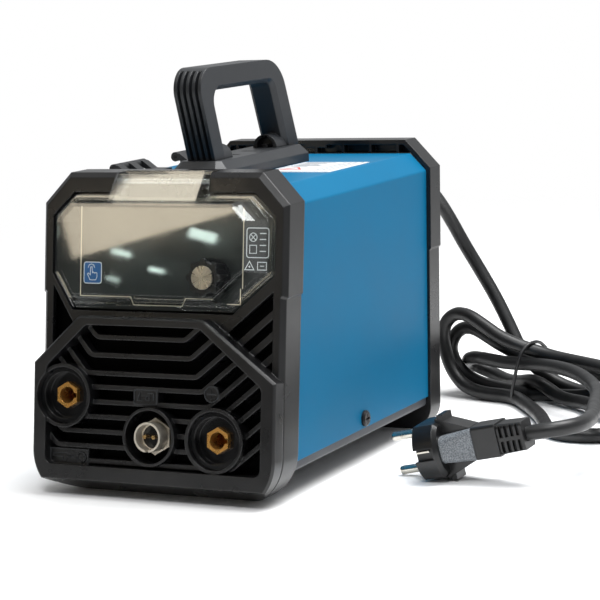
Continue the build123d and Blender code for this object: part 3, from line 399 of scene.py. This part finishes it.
def bezel_black_painted_gap_shade():
    """Moulded black of the front bezel; between the louvres its floor is painted near-black and loses its
    sheen, a painted shade for the unlit depth behind the louvres.
    """
    material = finishes["black_plastic"].copy()
    material.name = "bezel_black_painted_gap_shade"
    tree = material.node_tree
    shader = tree.nodes["Principled BSDF"]

    def test(value, kind, limit):
        """1 where a value is past a limit."""
        return node(tree, "Math", {0: value, 1: limit}, operation=kind).outputs[0]

    place = node(tree, "TexCoord").outputs["Object"]
    ahead = node(tree, "VectorMath", {0: place, 1: (0, -PANEL_COS, PANEL_SIN)}, operation="DOT_PRODUCT")
    size = node(tree, "VectorMath", {0: place}, operation="ABSOLUTE")
    part = node(tree, "SeparateXYZ", {0: size.outputs[0]})
    gap_shade_mask = test(ahead.outputs["Value"], "LESS_THAN", LOUVRE_FACE - LOUVRE_DEPTH)
    for inside in (test(part.outputs[0], "LESS_THAN", GRILLE_HALF),
                   test(part.outputs[2], "GREATER_THAN", GRILLE_Z[0]),
                   test(part.outputs[2], "LESS_THAN", GRILLE_Z[1])):
        gap_shade_mask = node(tree, "Math", {0: gap_shade_mask, 1: inside}, operation="MULTIPLY").outputs[0]
    tone = shader.inputs["Base Color"].links[0].from_socket
    # Painted shade: inside the grille and behind the louvres' front, the colour turns near-black and the
    # specular drops almost to nothing.
    dark = node(tree, "Mix", {0: gap_shade_mask, 6: tone, 7: (0.0006, 0.0006, 0.0007, 1)}, data_type="RGBA").outputs[2]
    sheen = node(tree, "MapRange", {"Value": gap_shade_mask, "To Min": 0.5, "To Max": 0.02}).outputs["Result"]
    tree.links.new(dark, shader.inputs["Base Color"])
    tree.links.new(sheen, shader.inputs["Specular IOR Level"])
    return material


def wound(name, color, other, rough, pitch, axis):
    """Wire wound side by side: ridges of one wire's pitch along an axis, with a glint on each."""
    material, tree, shader = new_material(name)
    place = node(tree, "TexCoord").outputs["Object"]
    part = node(tree, "SeparateXYZ", {0: place}).outputs[axis]
    turns = node(tree, "Math", {0: part, 1: 2 * pi / pitch}, operation="MULTIPLY").outputs[0]
    ridge = node(tree, "Math", {0: turns}, operation="SINE").outputs[0]
    drift = node(tree, "TexNoise", {"Vector": place, "Scale": 160, "Detail": 3})
    tone = ramp(tree, drift.outputs["Fac"], [(0.3, color), (0.7, other)])
    tree.links.new(tone, shader.inputs["Base Color"])
    tree.links.new(spread(tree, drift.outputs["Fac"], *rough), shader.inputs["Roughness"])
    bump = node(tree, "Bump", {"Height": ridge, "Distance": pitch * 0.35, "Strength": 0.9})
    tree.links.new(bump.outputs["Normal"], shader.inputs["Normal"])
    shader.inputs["Metallic"].default_value = 1.0
    return material


PLUG_FACE = (0.1199, -0.0227, 0.0157)
PLUG_AXIS = (0.9797, -0.0091, 0.2002)
PLUG_SIDE = (0.0023, 0.9994, 0.0341)


def plug_rubber():
    """Moulded plug: smooth dark rubber with a pale speckled grip on both sides of the waist."""
    material = surface("plug_moulding", linear(9, 9, 10), linear(13, 13, 14), (0.3, 0.42), patch=90,
                       edge=0.0006)
    tree = material.node_tree
    shader = tree.nodes["Principled BSDF"]
    tone = shader.inputs["Base Color"].links[0].from_socket
    place = node(tree, "TexCoord").outputs["Object"]
    moved = node(tree, "VectorMath", {0: place, 1: PLUG_FACE}, operation="SUBTRACT").outputs[0]

    def between(value, low, high, blur=0.0003):
        """1 where a value lies between low and high, with soft ends."""
        after = node(tree, "MapRange", {"Value": value, "From Min": low, "From Max": low + blur})
        until = node(tree, "MapRange", {"Value": value, "From Min": high, "From Max": high + blur,
                                        "To Min": 1, "To Max": 0})
        return node(tree, "Math", {0: after.outputs[0], 1: until.outputs[0]}, operation="MULTIPLY").outputs[0]

    along = node(tree, "VectorMath", {0: moved, 1: PLUG_AXIS}, operation="DOT_PRODUCT").outputs["Value"]
    aside = node(tree, "VectorMath", {0: moved, 1: PLUG_SIDE}, operation="DOT_PRODUCT").outputs["Value"]
    aside = node(tree, "Math", {0: aside}, operation="ABSOLUTE").outputs[0]
    grip = node(tree, "Math", {0: between(along, 0.0137, 0.0308), 1: between(aside, 0.0068, 0.03)},
                operation="MULTIPLY").outputs[0]
    speck = node(tree, "TexNoise", {"Vector": place, "Scale": 1700, "Detail": 1}).outputs["Fac"]
    pale = ramp(tree, speck, [(0.35, linear(72, 76, 80)), (0.65, linear(122, 127, 132))])
    mixed = node(tree, "Mix", {0: grip, 6: tone, 7: pale}, data_type="RGBA").outputs[2]
    tree.links.new(mixed, shader.inputs["Base Color"])
    return material


def ink(name, color, other, rough=(0.4, 0.5), edge=0):
    """Thin printed film or ink."""
    return surface(name, color, other, rough, edge=edge, depth=0.000004)


finishes["blue_paint"] = blue_paint()
finishes["copper_winding"] = wound("enamelled_copper", linear(176, 96, 52), linear(146, 72, 36),
                                   (0.22, 0.36), 0.0011, 2)
finishes["welding_wire"] = wound("copper_washed_wire", linear(206, 142, 104), linear(176, 112, 78),
                                 (0.2, 0.32), 0.0008, 0)
finishes["plug_rubber"] = plug_rubber()
CREAM = ink("cream_print", linear(226, 214, 186), linear(236, 225, 200))
WHITE_INK = ink("white_print", linear(232, 236, 238), linear(240, 243, 245))
ICON_BLUE = ink("icon_blue", linear(34, 92, 150), linear(40, 100, 160), (0.3, 0.4), edge=0.0001)
GREY_INK = ink("grey_print", linear(112, 118, 124), linear(128, 134, 140))
RED_INK = ink("red_print", linear(196, 66, 58), linear(206, 80, 70))

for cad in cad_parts.values():
    for used in cad.material_slots:
        used.material = finishes[used.material.name.split(".")[0]]
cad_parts["hinge_pins"].material_slots[0].material = finishes["screw_black"]
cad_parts["front_bezel"].material_slots[0].material = bezel_black_painted_gap_shade()

# ---- mains lead ---------------------------------------------------------------------------------
HANK_MIDDLE = Vector((102, 180, 0))
HANK_ALONG = Vector((0.93358, -0.35837, 0))
HANK_ACROSS = Vector((0.35837, 0.93358, 0))
LEAD_RADIUS = 0.00425
TIE_RADIUS = 0.0011


def hank(points):
    """Places given along, across and above the tied hank, turned into the machine's own axes."""
    return [tuple(HANK_MIDDLE + HANK_ALONG * s + HANK_ACROSS * t + Vector((0, 0, z))) for s, t, z in points]


DROP = [(42, 148.5, 138.6), (42, 161.5, 137.6), (42, 175.5, 132.2), (43, 187.3, 123), (46, 196.2, 110.9),
        (51.7, 201.8, 95.5), (60.6, 204.7, 78.8), (71.5, 203.4, 61.5), (81.3, 200.9, 44), (90.4, 197.3, 27.5)]
INTO_HANK = [(-6, 13.5, 17.5), (7, 15, 11), (21, 16.5, 7), (38, 18, 5.2), (56, 18, 4.6), (74, 14.5, 4.5)]
FLOOR = [(189, 155.5, 4.4), (198.5, 140.5, 4.4), (202.5, 122, 4.4), (201.5, 103, 4.4), (194.5, 87, 4.4),
         (180.5, 77.5, 4.4), (163.5, 75.8, 4.4), (150, 84, 4.4), (141, 100, 4.4), (132, 118, 4.4),
         (121.5, 134.5, 4.5), (109.5, 151, 4.7), (99, 165, 4.8)]
TURNS = [(-9, -13, 4.8), (-20, -15, 4.8), (-31, -15.5, 5.2), (-41, -15.5, 7.3), (-49, -15, 12),
         (-55.5, -14.5, 19.5), (-59.5, -14, 28.5), (-61, -14, 38), (-58.5, -14, 47), (-51, -13.5, 53),
         (-43, -13.5, 54), (-34.5, -14, 52.2), (-24.6, -14, 47.8), (-12, -14, 42), (0, -11, 37.6),
         (11, -6.5, 34), (24, -3.5, 31), (42, -3, 29.8), (58, -5, 29.5), (74, -9, 29.3), (88, -12, 28),
         (98, -7, 25), (102.5, 3, 22.5), (101, 13, 20), (93.5, 20.5, 17.5), (82, 23, 15.8), (70, 20.5, 14.3),
         (59, 15, 12.8), (48, 11, 9.5), (37, 9, 6.2), (24, 7, 4.8), (8, 3.5, 4.7),
         (-8, -2, 5.2), (-20, -4, 6.4), (-31, -4.5, 7.2), (-41, -4.5, 8.8), (-51.5, -4.5, 12),
         (-60, -4.8, 19), (-63.5, -5, 28), (-61, -4.3, 36), (-54.5, -3.8, 42), (-45.5, -3.8, 43.5),
         (-35, -4, 40.5), (-21, -4, 34.6), (-7, 0, 28.2), (6, 4.5, 23.8), (20, 7, 22), (36, 8, 21.5),
         (52, 9, 20.5), (68, 11, 19.5), (82, 10, 18), (92.5, 4, 16.5), (96.5, -6, 14.5), (93, -16.5, 12),
         (83.5, -22, 10), (72, -19.5, 8.5), (60, -13, 7.2), (49, -7.5, 6.3),
         (38, -4, 5.2), (27, -3, 6), (17, -2, 9.8), (7, -1, 13.3), (-4, 3, 12.3), (-15, 8.5, 9.6),
         (-27, 14.5, 7), (-39, 18.5, 7), (-50, 20.5, 9), (-60, 17.5, 12.5), (-62.5, 9.5, 17),
         (-53.5, 1, 21.5), (-43, -5, 24.4), (-31, -10, 25.8), (-19, -12.5, 26), (-6, -13.5, 25.8)]
TAIL = [(111, 163.5, 27), (130, 151.5, 28.5), (146.5, 139.5, 28), (160, 125, 26.5), (170.5, 108, 25.5),
        (178, 89, 25.2), (184, 68, 25.5), (190, 47, 26.2), (196.3, 27, 27.6), (200.6, 10, 29.2),
        (202.2, -2.5, 30.1), (200.6, -12.6, 30.6), (195.2, -19.8, 30.4), (187, -23, 29.4),
        (178.2, -23.2, 27.6)]
route = [Vector(p) / 1000 for p in DROP + hank(INTO_HANK) + FLOOR + hank(TURNS) + TAIL]
lead = curve_piece("mains_lead", route, LEAD_RADIUS, finishes["cord_rubber"], resolution=8)
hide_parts("cord_drop", "cord_hank", "cord_tail")

TIE = [(0, -10, 0.9), (0, 5, 0.9), (0.6, 14.5, 2), (1.8, 20, 8), (3.5, 19.8, 16.5), (5.5, 14.5, 26),
       (7.5, 7, 34), (9.3, 0, 38.6), (10.5, -7, 40), (9.8, -13.5, 38.6), (8.6, -18.2, 33), (6.8, -19.8, 25),
       (4.5, -20, 16), (2, -20, 7), (0.6, -17, 1.8)]
loop = [Vector(p) / 1000 for p in hank(TIE)]
tie = curve_piece("lead_tie", loop, TIE_RADIUS, finishes["tie_nylon"], closed=True)
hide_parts("cable_tie")


def boot_profile(rings=5, pitch=0.0042, taper=0.00028, groove=0.0013):
    """Tapered sleeve with a row of grooved rings: (distance along the lead, radius)."""
    profile = [(0.0, 0.0072), (0.0035, 0.0072)]
    for k in range(rings):
        start = 0.0045 + pitch * k
        r = 0.00705 - taper * k
        profile += [(start, r - groove), (start + 0.0012, r - groove),
                    (start + 0.0016, r), (start + 0.0038, r - 0.0001)]
    return profile + [(0.0265, 0.0056), (0.0278, 0.0052)]


boot, bm = piece("strain_relief_boot", finishes["gland_nylon"], bevel=0.0003)
revolve(bm, boot_profile(), rear_point(42, 141.5, 6), (0, REAR_COS, -REAR_SIN))
done(boot, bm)
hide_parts("strain_relief")

# ---- print on the control panel -----------------------------------------------------------------
INK = (-3.34, -3.18)           # lower and upper depth of the print
OVER_INK = (-3.2, -3.08)       # of what is printed on top of it


def draw(bm, points, width, depths=INK, closed=False):
    """Line on the control panel."""
    stroke(bm, panel_point, points, width, *depths, closed=closed)


border, bm = piece("panel_border", CREAM)
for line in ([(-20.5, 107.6), (-52.2, 107.6), (-52.2, 156.2)],
             [(-20.5, 107.6), (-18.5, 103.4), (11.5, 103.4), (13.5, 107.6), (30.0, 107.6)],
             [(38.5, 105.2), (46.4, 105.2), (46.4, 113.6)],
             [(47.6, 113.6), (47.6, 156.2)]):
    draw(bm, line, 0.5)
done(border, bm)

touch, bm = piece("touch_label", ICON_BLUE)
plate(bm, panel_point, round_rect(-49.9, -39.3, 114.6, 125.6, 1.2), *INK)
done(touch, bm)

FINGER = [(-46.2, 116.2), (-42.6, 116.2), (-41.8, 118.0), (-41.9, 120.0), (-42.9, 120.2), (-43.3, 119.8),
          (-44.0, 120.5), (-44.7, 120.0), (-45.0, 123.2), (-45.9, 123.2), (-46.1, 118.9), (-47.3, 119.9),
          (-47.9, 119.3)]
PRESS_ARC = [(-47.6, 122.7), (-46.9, 124.2), (-45.5, 124.8), (-44.0, 124.2), (-43.4, 122.7)]
hand, bm = piece("touch_label_print", WHITE_INK)
draw(bm, round_rect(-50.1, -39.1, 114.4, 125.8, 1.4), 0.45, closed=True)
draw(bm, FINGER, 0.34, OVER_INK, closed=True)
draw(bm, PRESS_ARC, 0.32, OVER_INK)
done(hand, bm)

marks, bm = piece("side_marks", WHITE_INK)
draw(bm, round_rect(49.6, 62.6, 130.0, 145.4, 1.4), 0.5, closed=True)
draw(bm, circle(53.4, 140.6, 2.2), 0.4, closed=True)
draw(bm, [(51.9, 139.1), (54.9, 142.1)], 0.4)
draw(bm, [(51.9, 142.1), (54.9, 139.1)], 0.4)
draw(bm, [(51.4, 136.4), (55.4, 136.4), (55.4, 132.2), (51.4, 132.2)], 0.4, closed=True)
for row in range(4):
    draw(bm, [(57.3, 142.6 - 3.1 * row), (61.0, 142.6 - 3.1 * row)], 0.55)
draw(bm, [(48.7, 123.6), (54.1, 123.6), (51.4, 128.0)], 0.45, closed=True)
plate(bm, panel_point, circle(51.4, 125.2, 0.5, 12), *INK)
draw(bm, [(56.2, 123.6), (61.4, 123.6), (61.4, 127.6), (56.2, 127.6)], 0.45, closed=True)
draw(bm, [(57.6, 125.6), (60.0, 125.6)], 0.4)
done(marks, bm)

# ---- raised symbols on the moulded pads ---------------------------------------------------------
HIGH = (3.3, 3.85)             # foot and top of the two tall outlines
LOW = (3.3, 3.75)              # of everything else
TORCH_SIGN = [(-63.6, 21.8), (-55.2, 22.6), (-52.6, 21.3), (-49.8, 21.3), (-49.8, 20.4), (-54.2, 20.0),
              (-55.2, 18.2), (-57.0, 18.2), (-57.2, 20.2), (-63.6, 20.6)]
symbols, bm = piece("moulded_symbols", finishes["handle_plastic"], bevel=0.00012)
draw(bm, round_rect(-12.9, 0.9, 50.8, 58.6, 1.3), 0.7, HIGH, closed=True)
draw(bm, [(-9.6, 56.9), (-11.1, 52.8), (-7.6, 52.8)], 0.6, LOW)
draw(bm, circle(-4.8, 54.0, 1.1, 14), 0.5, LOW, closed=True)
draw(bm, [(-4.8, 56.8), (-1.0, 56.8), (-1.0, 52.8)], 0.6, LOW)
draw(bm, circle(34, 58, 4.1), 0.6, HIGH, closed=True)
plate(bm, panel_point, [(31.2, 57.6), (36.8, 57.6), (36.8, 58.4), (31.2, 58.4)], *LOW)
draw(bm, round_rect(-65.2, -41.6, 16.0, 24.5, 0.8), 0.6, LOW, closed=True)
draw(bm, TORCH_SIGN, 0.5, LOW, closed=True)
draw(bm, circle(-45.6, 20.4, 2.7, 20), 0.5, LOW, closed=True)
done(symbols, bm)

# ---- print on the roof label --------------------------------------------------------------------
ROOF_INK = (164.29, 164.4)     # lower and upper side of the grey print
ROOF_RED = (164.29, 164.42)    # of the red badge
LINE_ENDS = (41, 37, 43, 34, 40, 38, 42, 33)
sheet, bm = piece("roof_label_print", GREY_INK)
for row, end in enumerate(LINE_ENDS):
    y = 41.5 - 2.9 * row
    plate(bm, roof_point, [(23, y), (end, y), (end, y + 0.9), (23, y + 0.9)], *ROOF_INK)
for x in (47.0, 50.5, 54.0):
    plate(bm, roof_point, [(x, 2), (x + 1.1, 2), (x + 1.1, 41), (x, 41)], *ROOF_INK)
stroke(bm, roof_point, [(21, -4.5), (58, -4.5), (58, 44.5), (21, 44.5)], 0.45, *ROOF_INK, closed=True)
done(sheet, bm)
badge, bm = piece("roof_label_badge", RED_INK)
stroke(bm, roof_point, [(24, 6), (36, 6), (30, 16)], 1.3, *ROOF_RED, closed=True)
done(badge, bm)

# ---- floor --------------------------------------------------------------------------------------
FLOOR_HALF = 6
FLOOR_MIDDLE = (0.05, 0.05, 0)
FADE = (0.3, 1.3)              # distances between which the floor fades into the open


def pale_floor():
    """Matt white that fades out far from the machine, so that no horizon shows."""
    ground, tree, shader = new_material("pale_floor")
    spot = node(tree, "TexCoord").outputs["Object"]
    speckle = node(tree, "TexNoise", {"Vector": spot, "Scale": 60, "Detail": 3}).outputs["Fac"]
    tone = ramp(tree, speckle, [(0.3, (0.94, 0.94, 0.94, 1)), (0.7, (0.96, 0.96, 0.96, 1))])
    tree.links.new(tone, shader.inputs["Base Color"])
    shader.inputs["Roughness"].default_value = 0.8
    away = node(tree, "VectorMath", {0: spot, 1: FLOOR_MIDDLE}, operation="DISTANCE").outputs["Value"]
    fade = node(tree, "MapRange", {"Value": away, "From Min": FADE[0], "From Max": FADE[1]},
                interpolation_type="SMOOTHSTEP")
    open_air = node(tree, "BsdfTransparent")
    blend = node(tree, "MixShader", {0: fade.outputs[0], 1: shader.outputs[0], 2: open_air.outputs[0]})
    tree.links.new(blend.outputs[0], tree.nodes["Material Output"].inputs["Surface"])
    return ground


floor_mesh = bpy.data.meshes.new("floor")
floor = bpy.data.objects.new("floor", floor_mesh)
SCENE.collection.objects.link(floor)
bm = bmesh.new()
for x, y in ((-1, -1), (1, -1), (1, 1), (-1, 1)):
    bm.verts.new((FLOOR_HALF * x, FLOOR_HALF * y, 0))
bm.faces.new(bm.verts)
bm.to_mesh(floor_mesh)
bm.free()
floor_mesh.materials.append(pale_floor())

# ---- air and light ------------------------------------------------------------------------------
BRIGHT_SIDE = (0.42, 0.78, 0.46)        # the way the room is lit from, behind and above on the right
DIM = (0.045, 0.047, 0.05, 1)
BRIGHT = (0.6, 0.61, 0.62, 1)
WHITE = (1, 1, 1, 1)

world = bpy.data.worlds.new("studio")
SCENE.world = world
world.use_nodes = True
air = world.node_tree
look = node(air, "TexCoord").outputs["Generated"]
depth = node(air, "VectorMath", {0: look, 1: BRIGHT_SIDE}, operation="DOT_PRODUCT").outputs["Value"]
level = node(air, "MapRange", {"Value": depth, "From Min": -0.55, "From Max": 0.6,
                               "To Min": 0.1, "To Max": 1.0})
shade = ramp(air, level.outputs["Result"], [(0.1, DIM), (0.9, BRIGHT)])
seen = node(air, "LightPath").outputs["Is Camera Ray"]
mixed = node(air, "Mix", {0: seen, 6: shade, 7: WHITE}, data_type="RGBA").outputs[2]
air.links.new(mixed, air.nodes["Background"].inputs["Color"])
air.nodes["Background"].inputs["Strength"].default_value = 1.0


def softbox(name, place, target, size, power, color=(1, 1, 1), roll=0.0):
    """Oblong lamp at a place, turned towards a target."""
    data = bpy.data.lights.new(name, "AREA")
    data.shape = "RECTANGLE"
    data.size, data.size_y = size
    data.energy = power
    data.color = color
    made = bpy.data.objects.new(name, data)
    SCENE.collection.objects.link(made)
    aim = (Vector(target) - Vector(place)).to_track_quat("-Z", "Y").to_matrix().to_4x4()
    made.matrix_world = Matrix.Translation(place) @ aim @ Matrix.Rotation(roll, 4, "Z")


softbox("key", (0.25, -1.0, 1.5), (0, 0, 0.1), (0.5, 0.5), 13, (0.98, 0.99, 1))
softbox("top", (0.35, 0.3, 1.7), (0, 0, 0.1), (0.9, 0.9), 34)
softbox("side", (0.36, 0.12, 0.56), (0.075, 0, 0.12), (0.2, 0.2), 1.35)
softbox("tab_card", (-0.42, -0.35, 0.95), (0, -0.1, 0.165), (0.22, 0.13), 0.4, (1, 0.9, 0.72), radians(12))

# Lamps that the clear guard mirrors stand in one upright plane ahead of it and face the panel.
CARD = Vector((-0.4527, -0.8674, 0.2625))
CARD_TARGET = Vector((0.005, -0.1021, 0.141))
CARD_SIDE = Vector((0.8582, -0.5133, 0))
CARD_UP = Vector((0.0693, 0.1159, 0.9909))
GLINTS = (((0.042, 0.004), (0.026, 0.0095)), ((-0.032, -0.0195), (0.018, 0.0055)),
          ((0.002, -0.0325), (0.0145, 0.0045)), ((-0.038, -0.0445), (0.0115, 0.0035)))


def reflector(name, offset, size, radiance, color, roll):
    """Small lamp in the plane of the card, offset across and up from its middle."""
    place = CARD + CARD_SIDE * offset[0] + CARD_UP * offset[1]
    power = pi * size[0] * size[1] * radiance
    softbox(name, place, place + CARD_TARGET - CARD, size, power, color, radians(roll))


reflector("warm_band", (0.001, 0.047), (0.20, 0.085), 4.2, (1, 0.86, 0.66), 21.4)
for i, (offset, size) in enumerate(GLINTS):
    reflector(f"ceiling_glint_{i + 1}", offset, size, 8.0, (0.82, 1.0, 0.92), -9)
